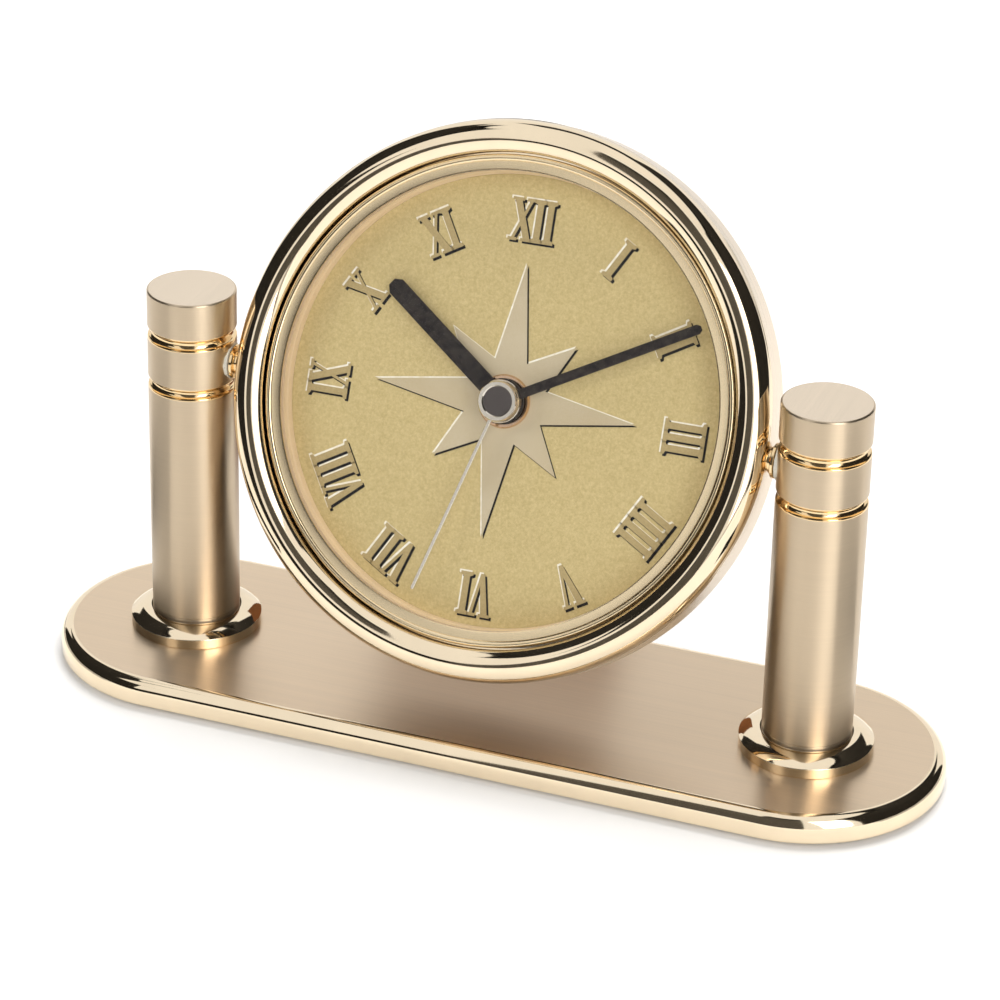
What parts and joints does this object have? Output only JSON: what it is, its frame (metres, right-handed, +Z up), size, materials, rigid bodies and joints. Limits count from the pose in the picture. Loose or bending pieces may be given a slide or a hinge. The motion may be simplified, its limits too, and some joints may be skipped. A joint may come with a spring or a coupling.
{
  "type": "desk clock",
  "caption": "Round analogue quartz clock head that swivels between two turned metal posts on a round-ended base plate.",
  "frame": {"origin": "middle of the felt's underside, which is the middle of the base plate", "axes": "+X along the base plate to the right, seen from the front, -Y the way the dial looks, +Z up"},
  "size_m": [0.1656, 0.0588, 0.1064],
  "materials": {
    "brushed_brass": "brushed champagne plating",
    "polished_brass": "polished champagne gold plating",
    "steel": "plain steel",
    "black_hand": "satin black",
    "dial_gold": "fine-grained matte gold",
    "pale_ring": "pale satin",
    "glass": "clear, slightly domed",
    "black_plastic": "fine matte",
    "natural_plastic": "natural moulded",
    "black_rubber": "matte",
    "felt": "dark felt",
    "copper": "enamelled copper wire",
    "board_green": "solder mask",
    "battery_can": "plain metal jacket"
  },
  "bodies": {
    "base": {"base_plate": "brushed_brass", "base_felt": "felt", "left_post": "brushed_brass", "right_post": "brushed_brass", "left_foot_ring": "polished_brass", "right_foot_ring": "polished_brass", "left_post_screw": "steel", "right_post_screw": "steel", "left_friction_bush": "natural_plastic", "right_friction_bush": "natural_plastic"},
    "head": {"left_pivot_pin": "polished_brass", "right_pivot_pin": "polished_brass", "case_ring": "brushed_brass", "bezel_ring": "polished_brass", "insert_gasket": "black_rubber", "glass": "glass", "rehaut_ring": "pale_ring", "dial": "dial_gold", "centre_nut": "polished_brass", "movement_plate": "natural_plastic", "train_bridge": "natural_plastic", "bridge_screw_1": "steel", "bridge_screw_2": "steel", "bridge_screw_3": "steel", "stator": "steel", "coil_core": "steel", "coil_bobbin": "natural_plastic", "coil_winding": "copper", "coil_screw_1": "steel", "coil_screw_2": "steel", "circuit_board": "board_green", "clock_chip": "black_plastic", "quartz_crystal": "steel", "movement_housing": "black_plastic", "snap_ring": "steel", "battery": "battery_can", "contact_plus": "steel", "contact_minus": "steel"},
    "hour": {"hour_hand": "black_hand", "hour_wheel": "natural_plastic"},
    "minute": {"minute_hand": "black_hand", "cannon_pinion": "polished_brass"},
    "second": {"second_hand": "polished_brass", "second_wheel": "natural_plastic"},
    "minute_drive": {"minute_wheel": "natural_plastic"},
    "third": {"third_wheel": "natural_plastic"},
    "intermediate": {"intermediate_wheel": "natural_plastic"},
    "rotor": {"rotor_pinion": "natural_plastic", "rotor_magnet": "steel"},
    "motion": {"motion_wheel": "natural_plastic"},
    "setting": {"set_arbor": "natural_plastic", "set_knob": "black_plastic"},
    "door": {"battery_door": "black_plastic"}
  },
  "joints": [
    {"name": "head_swivel", "type": "hinge", "parent": "base", "child": "head", "pos_m": [0, 0, 0.0594], "axis": [1, 0, 0], "continuous": true},
    {"name": "second_hand_turn", "type": "hinge", "parent": "head", "child": "second", "pos_m": [0, 0.00216, 0.06003], "axis": [0, 0.9085, -0.4179], "continuous": true},
    {"name": "intermediate_turn", "type": "hinge", "parent": "head", "child": "intermediate", "pos_m": [-0.00295, 0.00554, 0.06739], "axis": [0, 0.9085, -0.4179], "continuous": true},
    {"name": "rotor_turn", "type": "hinge", "parent": "head", "child": "rotor", "pos_m": [-0.00887, 0.00697, 0.07049], "axis": [0, 0.9085, -0.4179], "continuous": true},
    {"name": "third_turn", "type": "hinge", "parent": "head", "child": "third", "pos_m": [0.00725, 0.00042, 0.05623], "axis": [0, 0.9085, -0.4179], "continuous": true},
    {"name": "minute_drive_turn", "type": "hinge", "parent": "head", "child": "minute_drive", "pos_m": [0, 0.00216, 0.06003], "axis": [0, 0.9085, -0.4179], "continuous": true},
    {"name": "minute_hand_turn", "type": "hinge", "parent": "head", "child": "minute", "pos_m": [0, 0.00216, 0.06003], "axis": [0, 0.9085, -0.4179], "continuous": true},
    {"name": "motion_turn", "type": "hinge", "parent": "head", "child": "motion", "pos_m": [-0.00782, 0.00097, 0.05745], "axis": [0, 0.9085, -0.4179], "continuous": true},
    {"name": "hour_hand_turn", "type": "hinge", "parent": "head", "child": "hour", "pos_m": [0, 0.00216, 0.06003], "axis": [0, 0.9085, -0.4179], "continuous": true},
    {"name": "set_knob_turn", "type": "hinge", "parent": "head", "child": "setting", "pos_m": [-0.01661, -0.00036, 0.05454], "axis": [0, 0.9085, -0.4179], "continuous": true},
    {"name": "battery_door_slide", "type": "slide", "parent": "head", "child": "door", "axis": [0, -0.4179, -0.9085], "range_m": [0, 0.0115]}
  ],
  "couplings": [
    {"joint": "intermediate_turn", "follows": "second_hand_turn", "ratio": -6},
    {"joint": "rotor_turn", "follows": "second_hand_turn", "ratio": 30},
    {"joint": "third_turn", "follows": "second_hand_turn", "ratio": -0.13333},
    {"joint": "minute_drive_turn", "follows": "second_hand_turn", "ratio": 0.016667},
    {"joint": "motion_turn", "follows": "minute_hand_turn", "ratio": -0.33333},
    {"joint": "hour_hand_turn", "follows": "minute_hand_turn", "ratio": 0.083333},
    {"joint": "set_knob_turn", "follows": "minute_hand_turn", "ratio": 0.66667}
  ]
}
